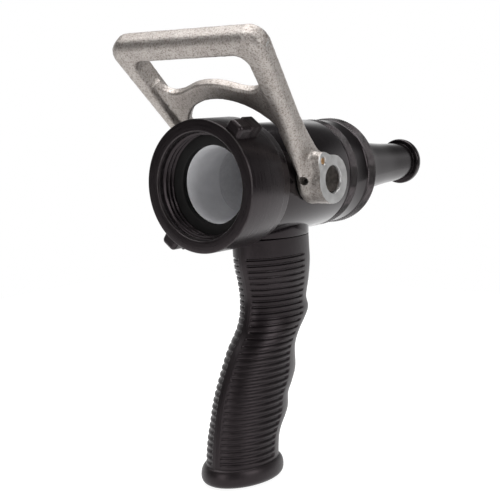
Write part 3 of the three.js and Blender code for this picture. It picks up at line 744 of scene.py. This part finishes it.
def inside_parts():
    sleeve = lathe("upstream_seat_visual", [
        (14.05, 19.0, 0.4), (14.05, 21.3, 0.2), (27.9, 21.3, 0.1), (27.9, 19.8, 0.1), (30.6, 19.8, 0.1),
        (30.6, 21.3, 0.1), *seat_contact(-1, (21.3, 20.1, 18.9, 17.7)), (30.0, 17.7, 0.0),
        (19.0, 17.75, 2.0), (16.0, 18.3, 1.0)])
    finished(sleeve, ROOT, ["upstream_seat"], ACETAL)
    contact = seat_contact(1, (17.7, 18.7, 19.6, 20.6, 21.5))
    seat = lathe("downstream_seat_visual", [
        *contact, (contact[-1][0], 24.3, 0.2), (73.0, 24.3, 0.2), (73.0, 17.7, 0.3)])
    finished(seat, ROOT, ["downstream_seat"], ACETAL)
    seal = lathe_points("seat_o_ring_visual", circle(0.7, 16) + (29.25, 20.55), np.zeros(16))
    finished(seal, ROOT, ["seat_o_ring"], RUBBER)
    adapter = lathe("outlet_adapter_visual", [
        (73.3, 17.7, 0.4), (73.3, 24.3, 0.4), (87.4, 24.3, 0.2), (87.4, 21.6, 0.2), (104.6, 21.6, 0.6),
        (104.6, 16.4, 0.5), (90.0, 17.0, 3.0)])
    finished(adapter, ROOT, ["outlet_adapter"], BODY_BLACK)
    washer = lathe("tip_gasket_visual", [
        (104.8, 16.4, 0.2), (104.8, 21.4, 0.2), (106.7, 21.4, 0.2), (106.7, 16.4, 0.2)])
    finished(washer, ROOT, ["tip_gasket"], RUBBER)
    swivel_race()
    valve_ball()
    for side, sign in (("left", 1), ("right", -1)):
        stem_parts(side, VALVE @ Matrix.Rotation(sign * math.pi / 2, 4, "Z"))


def swivel_race():
    """All the balls of the swivel's race, as one piece."""
    mesh = bmesh.new()
    for i in range(BALL_COUNT):
        angle = 2 * math.pi * i / BALL_COUNT
        y, z = RACE_RADIUS * math.cos(angle), RACE_RADIUS * math.sin(angle)
        place = WATERWAY @ Matrix.Translation((RACE_X, y, z))
        bmesh.ops.create_uvsphere(mesh, u_segments=16, v_segments=10, radius=BALL_RADIUS, matrix=place)
    data = bpy.data.meshes.new("swivel_balls_visual")
    mesh.to_mesh(data)
    mesh.free()
    nodes = [f"swivel_ball_{i + 1}" for i in range(BALL_COUNT)]
    finished(linked("swivel_balls_visual", data), ROOT, nodes, STAINLESS)


def valve_ball():
    """The bored ball, with a slot for each stem's tongue."""
    radius, bore = VALVE_BALL_RADIUS, VALVE_BALL_BORE
    rim = math.asin(bore / radius)
    angles = np.linspace(math.pi - rim, rim, 49)
    outline = [(radius * math.cos(a), radius * math.sin(a), 0.0) for a in angles]
    ends = radius * math.cos(rim)
    outline[0] = (-ends, bore, 0.0)
    outline += [(ends - 0.8, bore, 0.0), (-ends + 0.8, bore, 0.0)]
    ball = lathe("valve_ball_visual", outline, VALVE, 160)
    for side in (1, -1):
        low, high = side * radius - 4.3, side * radius + 4.3
        slot = block("slot", (-4.35, low, -6.5), (4.35, high, 6.5), VALVE)
        cut(ball, slot)
    finished(ball, BAIL_BODY, ["valve_ball"], STAINLESS)


def stem_parts(side, matrix):
    """A trunnion stem with its O-ring and bush, drawn along X and turned outward."""
    stem = solid_turned("trunnion_stem_" + side + "_visual", [
        (24.2, 6.6, 0.2), (25.4, 6.6, 0.1), (25.4, 5.2, 0.1), (27.4, 5.2, 0.1), (27.4, 6.6, 0.1),
        (38.9, 6.6, 0.15), (39.7, 5.75, 0.15)], matrix, 96)
    tongue = block("tongue", (20.2, -4.0, -6.2), (24.5, 4.0, 6.2), matrix)
    join(stem, tongue)
    for turn in (-24, 2, 22):
        notch = matrix @ Matrix.Rotation(math.radians(turn), 4, "X")
        for start in (-7.2, 5.2):
            cut(stem, block("notch", (39.1, start, -0.45), (40.0, start + 2.0, 0.45), notch))
    finished(stem, BAIL_BODY, ["trunnion_stem_" + side], STEM_STEEL)
    seal = lathe_points("stem_o_ring_" + side + "_visual", circle(0.65, 16) + (26.4, 5.9), np.zeros(16),
                        matrix, 64)
    finished(seal, BAIL_BODY, ["stem_o_ring_" + side], RUBBER)
    bush = lathe("stem_bush_" + side + "_visual", [
        (25.1, 7.0, 0.15), (25.1, 8.3, 0.15), (27.1, 8.3, 0.15), (27.1, 7.0, 0.15)], matrix, 64)
    finished(bush, ROOT, ["stem_bush_" + side], BRONZE)


# ---- bail ----
ARM_INNER, ARM_FACE, BOSS_RADIUS = 28.8, 40.7, 12.0
BAIL_TOP, WINDOW_TOP = 94.7, 83.0
HALF_THICK, FRONT_ROUND, REAR_ROUND = 6.0, 5.0, 3.85
ARM_START, WINDOW_CORNER = 6.0, 5.5
PIN_OFFSET = 12.4
CORNER = 9.0


def outer_half(z):
    """Half the width of the bail over its arms, at a height above the pivot."""
    return 32.3 + 0.152 * z


CORNER_Z = BAIL_TOP - CORNER
FRAME_OUTSIDE = [(outer_half(CORNER_Z) - CORNER, CORNER_Z), (outer_half(0) - CORNER, 0),
                 (CORNER - outer_half(0), 0), (CORNER - outer_half(CORNER_Z), CORNER_Z)]
WINDOW_SIDE = [(28.8, -20.0), (28.8, 27.6), (31.8, 62.0), (33.4, 77.0), (33.4, WINDOW_TOP)]


def window_outline(inset):
    """The hand window, shrunk by the radius that its corners get back."""
    right = [(y - inset, z) for y, z in WINDOW_SIDE]
    right[-1] = (right[-1][0], WINDOW_TOP - inset)
    return right + [(-y, z) for y, z in right[::-1]]


def bezier(points, steps):
    """Points along a curve with three or four control points, without its end."""
    t = np.linspace(0, 1, steps, endpoint=False)[:, None]
    p = [np.array(q, float) for q in points]
    if len(p) == 3:
        return (1 - t) ** 2 * p[0] + 2 * t * (1 - t) * p[1] + t * t * p[2]
    return ((1 - t) ** 3 * p[0] + 3 * t * (1 - t) ** 2 * p[1] + 3 * t * t * (1 - t) * p[2] + t ** 3 * p[3])


def web_outline():
    """The plate between the arms: humped above, arched below."""
    side, centre, radius = 31.4, 27.0, 28.8
    saddle, hump = 60.6, 65.9
    right = np.vstack([
        [(side, centre)],
        bezier([(side, 66.0), (28.9, saddle), (23.5, saddle)], 8),
        bezier([(23.5, saddle), (14.6, saddle), (11.8, hump), (0.0, hump)], 12),
    ])
    left = (right * (-1, 1))[::-1]
    angle = np.radians(np.linspace(180, 0, 40))
    arch = np.column_stack((radius * np.cos(angle), centre + radius * np.sin(angle)))
    return np.vstack([right, [(0.0, hump)], left, arch])


WEB_OUTLINE = web_outline()
ROOT_OUTLINE = [(-11.7, 2.0), (-6.0, 38.0), (6.0, 38.0), (11.7, 2.0), (9.0, -6.0), (-9.0, -6.0)]


def bail_distance(x, y, z):
    """The casting, with X through its thickness, Y across and Z up the arms, in millimetres."""
    outside = polygon_distance(FRAME_OUTSIDE, y, z) - CORNER
    window = polygon_distance(window_outline(WINDOW_CORNER), y, z) - WINDOW_CORNER
    rim = np.maximum(outside, ARM_START - z)
    front, rear = thick(rim, -HALF_THICK - x, FRONT_ROUND), thick(rim, x - HALF_THICK, REAR_ROUND)
    arms = np.maximum(np.maximum(front, rear), thick(-window, np.abs(x) - HALF_THICK, 2.6))
    web = thick(polygon_distance(WEB_OUTLINE, y, z), np.abs(x + 0.3) - 2.7, 1.5)
    shape = melt(arms, web, 2.6)
    side = np.abs(y)
    root = polygon_distance(ROOT_OUTLINE, x, z)
    taper = np.maximum(thick(root, side - outer_half(z), 5.0), thick(root, ARM_INNER - side, 2.6))
    shape = melt(shape, taper, 1.5)
    round_boss = np.sqrt(x * x + z * z) - BOSS_RADIUS
    boss = thick(round_boss, np.abs(side - 34.5) - 7.0, 0.5)
    shape = melt(shape, boss, 4.5)
    ear = thick(np.sqrt(x * x + (z - 11.7) ** 2) - 5.0, np.abs(side - 34.8) - 6.3, 0.5)
    return melt(shape, ear, 3.0)


def rough_casting(points, normal):
    """Sinks the surface by up to 0.3 mm, as sand leaves it."""
    coarse = value_noise(points / 2.6, 3)
    pebble = value_noise(points / 1.15, 5)
    fine = value_noise(points / 0.7, 7)
    depth = 0.1 * coarse + 0.13 * pebble + 0.07 * fine
    return points - normal * depth[:, None]


def setscrew_axis(sign):
    """The axis of a boss's setscrew: X runs upstream from the stem."""
    return VALVE @ Matrix.Translation((0, sign * 32.2, 0)) @ Matrix.Rotation(math.pi, 4, "Z")


def bail():
    points, faces = field_mesh(bail_distance, (-13.4, -47.0, -13.4), (13.4, 47.0, 96.0), 0.55)
    points = settle(bail_distance, points)
    points = rough_casting(points, field_normal(bail_distance, points))
    # Painted shade: a mask that darkens the recessed web between the arms. It is full from 3 mm inside the
    # web's rim, clear at the rim, and fades out towards the arms.
    web_painted_shade = smooth_step(0.5, -3.0, polygon_distance(WEB_OUTLINE, points[:, 1], points[:, 2]))
    web_painted_shade = web_painted_shade * smooth_step(29.0, 22.0, np.abs(points[:, 1]))
    yoke = face_outward(new_object("bail_visual", points, faces, BAIL, web_painted_shade))
    for side in (1, -1):
        outward = BAIL @ Matrix.Rotation(side * math.pi / 2, 4, "Z")
        cut(yoke, block("face", (ARM_FACE, -20, -20), (48, 20, 17.5), outward))
        cut(yoke, block("back", (20, -16, -16), (27.7, 16, 16), outward))
        cut(yoke, solid_turned("bore", [(20, 6.85, 0), (40.45, 6.85, 0), (41.2, 7.4, 0)], outward, 96))
        pin = outward @ Matrix.Translation((0, 0, PIN_OFFSET))
        cut(yoke, solid_turned("pin", [(32.8, 1.75, 0), (40.2, 1.75, 0), (41.4, 2.6, 0)], pin, 32))
        tapped = solid_turned("tapped", [(5.8, 2.15, 0), (18.0, 2.15, 0)], setscrew_axis(side), 32)
        cut(yoke, tapped)
    finished(yoke, BAIL_BODY, ["bail"], [CAST, MACHINED], sharp=50)
    mark_machined(yoke)
    for side, sign in (("left", 1), ("right", -1)):
        bail_fixings(side, sign)


def mark_machined(yoke):
    """Gives the flat faces and bores that a cutter made their own finish."""
    to_bail = np.array(BAIL.inverted())
    mesh = yoke.data
    centres = np.zeros(len(mesh.polygons) * 3)
    normals = np.zeros(len(mesh.polygons) * 3)
    mesh.polygons.foreach_get("center", centres)
    mesh.polygons.foreach_get("normal", normals)
    x, y, z = to_bail[:3, :3] @ centres.reshape(-1, 3).T + to_bail[:3, 3:]
    normals = normals.reshape(-1, 3)
    flat = (np.abs(normals[:, 1]) > 0.999) & ((np.abs(y) > ARM_FACE - 0.02) | (np.abs(y) < 27.75))
    bore = np.hypot(x, z) < 7.2
    pin = (np.hypot(x, z - PIN_OFFSET) < 2.2) & (np.abs(y) > 30)
    chosen = flat | bore | pin
    mesh.polygons.foreach_set("material_index", chosen.astype(np.int32))


def bail_fixings(side, sign):
    screw = setscrew_axis(sign)
    grub = solid_turned("bail_setscrew_" + side + "_visual", [
        (6.95, 1.7, 0.3), (7.4, 2.0, 0.1), (11.4, 2.0, 0.3)], screw, 48)
    hex_socket(grub, 1.15, 9.0, 12.0, screw)
    finished(grub, BAIL_BODY, ["bail_setscrew_" + side], DARK_STEEL)
    outward = BAIL @ Matrix.Rotation(sign * math.pi / 2, 4, "Z") @ Matrix.Translation((0, 0, PIN_OFFSET))
    pin = solid_turned("bail_pin_" + side + "_visual", [(33.0, 1.5, 0.2), (40.2, 1.5, 0.5)], outward, 32)
    finished(pin, BAIL_BODY, ["bail_pin_" + side], BRONZE)


# ---- nozzle tip ----
KNURL_STEPS = 280
KNURL_ROW = 0.64
KNURL_DEPTH = 0.55
KNURL_RADIUS = 28.0
BAND_WEAR = 0.2


def nozzle_tip():
    """The knurled ring and the tapered tube, turned from one bar, with true diamond knurling."""
    # Each row of the outline holds x, radius, 1 where it is knurled, and wear.
    rows = []

    def corner_run(corners):
        before = (corners[0][0] - 5, corners[0][1] - 5, 0)
        after = (corners[-1][0] + 5, corners[-1][1] - 5, 0)
        outline, edge = rounded([before, *corners, after])
        rows.extend((x, r, 0.0, BAND_WEAR * e) for (x, r), e in zip(outline[1:-1], edge[1:-1]))

    def knurl_run(start, end):
        for x in np.arange(start, end + 0.01, KNURL_ROW):
            rows.append((x, KNURL_RADIUS, 1.0, 1.0))

    corner_run([(87.9, 21.9, 0), (87.9, 27.2, 0.3), (88.6, 27.6, 0.2)])
    knurl_run(89.0, 95.0)
    corner_run([(95.6, 27.55, 0.2), (96.1, 27.2, 0.15), (105.1, 27.2, 0.15), (105.7, 27.55, 0.2)])
    knurl_run(106.5, 112.5)
    corner_run([
        (113.2, 27.6, 0.2), (113.8, 27.1, 0.2), (113.8, 20.0, 1.4), (115.4, 17.2, 1.4), (124.0, 16.2, 3),
        (135.8, 14.0, 6), (158.8, 11.6, 6), (178.0, 10.7, 3), (181.4, 10.6, 0.5), (181.9, 10.25, 0.2),
        (182.4, 10.4, 0.1), (182.4, 12.5, 0.3), (183.0, 12.9, 0.3), (185.3, 12.9, 0.8), (187.0, 12.2, 0.6),
        (187.5, 11.3, 0.4), (187.5, 8.5, 0.3), (186.9, 7.95, 0.3), (151.5, 7.95, 8), (108.9, 15.2, 0.5),
        (106.9, 15.6, 0.2), (106.9, 21.9, 0.1),
    ])
    table = np.array(rows)
    sides = KNURL_STEPS
    j = np.arange(sides)[None, :]
    i = np.round(table[:, :1] / KNURL_ROW).astype(int)
    valley = (i + j) % 2 == 0
    radius = table[:, 1:2] - np.where(valley, KNURL_DEPTH, 0.0) * table[:, 2:3]
    angle = j * 2 * math.pi / sides
    x = np.repeat(table[:, :1], sides, axis=1)
    y, z = radius * np.cos(angle), radius * np.sin(angle)
    vertices = np.column_stack((x.ravel(), y.ravel(), z.ravel()))
    faces = knurl_faces(table, sides)
    crests = table[:, 3:4] * np.where(valley & (table[:, 2:3] > 0), 0.0, 1.0)
    tip = face_outward(new_object("nozzle_tip_visual", vertices, faces, WATERWAY, crests.ravel()))
    finished(tip, ROOT, ["nozzle_tip"], TIP_BLACK, sharp=34)


def knurl_faces(table, sides):
    """The outline's quads. Those of the knurling are split across, in turn, so its points stay sharp."""
    faces = []
    count = len(table)
    for i in range(count):
        k = (i + 1) % count
        knurled = table[i, 2] and table[k, 2]
        number = int(round(table[i, 0] / KNURL_ROW))
        for j in range(sides):
            m = (j + 1) % sides
            a, b, c, d = i * sides + j, i * sides + m, k * sides + m, k * sides + j
            if not knurled:
                faces.append((a, b, c, d))
            elif (number + j) % 2 == 0:
                faces.extend([(a, b, c), (a, c, d)])
            else:
                faces.extend([(a, b, d), (b, c, d)])
    return faces


# ---- grip ----
GRIP_TOP = 118.4
GRIP_FRONT = [(22.3, 0), (22.8, 14), (25, 22), (32.4, 31), (33.8, 39), (38, 44.5), (41.4, 51), (41.2, 62),
              (45, 69.5), (53.8, 79), (52.2, 86), (54.4, 94), (56.2, 104), (55.8, 112), (55.4, GRIP_TOP)]
GRIP_BACK = [(-21.9, 0), (-20.6, 16), (-17.5, 32), (-12.5, 47), (-3.6, 62), (5.8, 73.5), (9.2, 86), (8.2, 96),
             (5.8, 106), (5.3, GRIP_TOP)]
GRIP_HALF_WIDTH = [(15.6, 0), (15.2, 30), (14.2, 58), (14, 84), (15.2, 104), (15.6, GRIP_TOP)]
BEAD_HEIGHT, BEAD_REACH = 9.5, 2.4
GROOVE_PITCH, GROOVE_FIRST, GROOVE_LAST, GROOVE_DEPTH = 3.03, 12.04, 110.2, 0.95
SEAM_HEIGHT, SEAM_WIDTH = 0.12, 0.35


def grip_rows():
    """Heights of the grip's rows, about a quarter of a millimetre apart."""
    return np.concatenate([np.linspace(0, BEAD_HEIGHT, 40, endpoint=False),
                           np.arange(BEAD_HEIGHT, GRIP_TOP, 0.25), [GRIP_TOP]])


def bead(z):
    """How far the foot's bead stands proud at each height."""
    half = BEAD_HEIGHT / 2
    along = np.clip((z - half) / half, -1, 1)
    out = BEAD_REACH * np.sqrt(1 - along ** 2)
    foot = np.where(z < half, 1.6 * np.abs(along) ** 4, 0.0)
    return out - foot


def grooves(z, angle):
    """Depth of the moulded ribbing, by height and by angle round the grip from its front."""
    phase = (z - GROOVE_FIRST) / GROOVE_PITCH
    near = np.abs(phase - np.round(phase)) * GROOVE_PITCH
    thin = 1 - smooth_step(0.32, 0.72, near)
    broad = 1 - smooth_step(0.25, 1.25, near)
    low = 1 - smooth_step(50.0, 72.0, z)
    line = thin + (broad - thin) * low
    line = line * ((z > GROOVE_FIRST - 1.2) & (z < GROOVE_LAST))
    turn = np.abs(angle)
    flank = smooth_step(math.radians(71), math.radians(76), turn)
    spine = 1 - smooth_step(math.radians(168.5), math.radians(171.5), turn)
    return GROOVE_DEPTH * line * flank * spine


def grip():
    heights = grip_rows()
    sides = 224
    angle = np.linspace(-math.pi, math.pi, sides, endpoint=False)
    z = np.repeat(heights[:, None], sides, axis=1)
    a = np.repeat(angle[None, :], len(heights), axis=0)
    front = spline(GRIP_FRONT, heights)[:, None]
    back = spline(GRIP_BACK, heights)[:, None]
    half_width = spline(GRIP_HALF_WIDTH, heights)[:, None]
    bulge = bead(heights)[:, None]
    half_length = (front - back) / 2
    ribbing = grooves(z, a)
    direction_x, direction_y = np.cos(a), np.sin(a)
    x = (front + back) / 2 + (half_length + bulge - ribbing) * direction_x
    y = (half_width + bulge - ribbing) * direction_y
    seam = SEAM_HEIGHT * np.exp(-(y / SEAM_WIDTH) ** 2) * (bulge < 0.01)
    x = x + seam * np.sign(direction_x)
    vertices = np.column_stack((x.ravel(), y.ravel(), z.ravel()))
    handle = face_outward(new_object("grip_visual", vertices, capped_faces(len(heights), sides), GRIP))
    axis = bolt_axis()
    cut(handle, block("tang_room", (15.7, -7.3, 98.1), (40.3, 7.3, 120.0), GRIP))
    relief = solid_turned("relief", [(2.0, 31.2, 0), (31.8, 31.2, 0)], WATERWAY, 160)
    cut(handle, relief)
    cut(handle, solid_turned("recess", [
        (-4, 6.6, 0), (0.3, 6.25, 0), (0.9, 5.8, 0), (13, 5.8, 0), (13.01, 3.3, 0),
        (116, 3.3, 0)], axis, 64))
    finished(handle, ROOT, ["grip"], POLYMER, sharp=42)
    bolt = solid_turned("grip_bolt_visual", [
        (5.6, 5.0, 0.6), (11.6, 5.0, 0.2), (11.6, 3.0, 0.2), (115.9, 3.0, 0.6)], axis, 64)
    hex_socket(bolt, 2.6, 4.0, 8.6, axis)
    finished(bolt, ROOT, ["grip_bolt"], DARK_STEEL)
    washer = lathe("grip_washer_visual", [
        (11.8, 3.3, 0.1), (11.8, 5.5, 0.2), (12.8, 5.5, 0.2), (12.8, 3.3, 0.1)], axis, 64)
    finished(washer, ROOT, ["grip_washer"], DARK_STEEL)


def bolt_axis():
    """The grip bolt's slanted axis: X runs up from the foot."""
    lean = math.atan2(16, 116)
    return (Matrix.Scale(MM, 4) @ Matrix.Translation((10, 0, 0)) @ Matrix.Rotation(lean, 4, "Y")
            @ Matrix.Rotation(-math.pi / 2, 4, "Y"))


# ---- stage ----
FLOOR_SIZE, FLOOR_GAP = 1.1, 0.0005
AHEAD_X, AHEAD_Y, ROOM_LIGHT = 0.789, 0.614, 0.035
LENS_LENGTH = 88.9
CAMERA_PLACE = (-0.4694, -0.3753, 0.191)
CAMERA_RIGHT = (0.6102, -0.7914, -0.0364)
CAMERA_UP = (0.1220, 0.0485, 0.9913)
CAMERA_BACK = (-0.7828, -0.6094, 0.1262)


def floor():
    half = FLOOR_SIZE / 2
    low = CAD_BOX[0].z - FLOOR_GAP
    corners = [(-half, -half, low), (half, -half, low), (half, half, low), (-half, half, low)]
    plane = new_object("floor", corners, [(0, 1, 2, 3)], Matrix.Identity(4))
    n = Nodes("floor_paint")
    speckle = n.noise(400, 2)
    n.done(n.blend(speckle, (0.3, 0.3, 0.3), (0.34, 0.34, 0.34)), 0.0, 0.7, specular=0.0)
    n.shader.inputs["Emission Color"].default_value = (1, 1, 1, 1)
    n.shader.inputs["Emission Strength"].default_value = 0.9
    plane.data.materials.append(n.material)


def area_light(name, place, target, size, power):
    data = bpy.data.lights.new(name, "AREA")
    data.shape = "RECTANGLE"
    data.size, data.size_y = size
    data.energy = power
    lamp = linked(name, data)
    lamp.location = place
    lamp.rotation_mode = "QUATERNION"
    lamp.rotation_quaternion = (Vector(target) - Vector(place)).to_track_quat("-Z", "Y")


def studio():
    """A white sweep behind the object, a dark room on the camera's side and three soft lights."""
    world = bpy.data.worlds.new("studio")
    bpy.context.scene.world = world
    world.use_nodes = True
    tree = world.node_tree
    background = tree.nodes["Background"]
    place = tree.nodes.new("ShaderNodeTexCoord")
    split = tree.nodes.new("ShaderNodeSeparateXYZ")
    tree.links.new(place.outputs["Generated"], split.inputs[0])

    def calc(operation, a, b):
        node = tree.nodes.new("ShaderNodeMath")
        node.operation = operation
        for socket, value in zip(node.inputs, (a, b)):
            if isinstance(value, bpy.types.NodeSocket):
                tree.links.new(value, socket)
            else:
                socket.default_value = value
        return node.outputs[0]

    def ramp(value, low, high, out_low, out_high):
        node = tree.nodes.new("ShaderNodeMapRange")
        node.interpolation_type = "SMOOTHSTEP"
        tree.links.new(value, node.inputs[0])
        for socket, number in zip(list(node.inputs)[1:5], (low, high, out_low, out_high)):
            socket.default_value = number
        return node.outputs[0]

    along_x = calc("MULTIPLY", split.outputs[0], AHEAD_X)
    along_y = calc("MULTIPLY", split.outputs[1], AHEAD_Y)
    behind = ramp(calc("ADD", along_x, along_y), 0.24, 0.55, 0.0, 0.95)
    low_down = ramp(split.outputs[2], 0.2, 0.48, 1.0, 0.06)
    light = calc("ADD", calc("MULTIPLY", behind, low_down), ROOM_LIGHT)
    seen = tree.nodes.new("ShaderNodeLightPath").outputs["Is Camera Ray"]
    unseen = calc("MULTIPLY", calc("SUBTRACT", 1.0, seen), light)
    tree.links.new(calc("ADD", seen, unseen), background.inputs["Strength"])
    background.inputs["Color"].default_value = (1, 1, 1, 1)
    area_light("top_softbox", (0.1, 0.15, 1.1), (0, 0, 0.1), (1.3, 1.0), 18)
    area_light("front_fill", (-0.9, -0.1, 0.3), (0, 0, 0.15), (0.5, 0.5), 2.5)
    area_light("right_fill", (0.1, -1.0, 0.5), (0, 0, 0.1), (0.5, 0.6), 5)


def camera():
    data = bpy.data.cameras.new("camera")
    data.sensor_width = 36.0
    data.lens = LENS_LENGTH
    data.clip_end = 50.0
    thing = linked("camera", data)
    turn = Matrix((CAMERA_RIGHT, CAMERA_UP, CAMERA_BACK)).transposed()
    thing.matrix_world = Matrix.Translation(CAMERA_PLACE) @ turn.to_4x4()
    bpy.context.scene.camera = thing


inlet_coupling()
valve_body()
inside_parts()
nozzle_tip()
bail()
grip()
floor()
studio()
camera()
bpy.context.scene.view_settings.view_transform = "Standard"
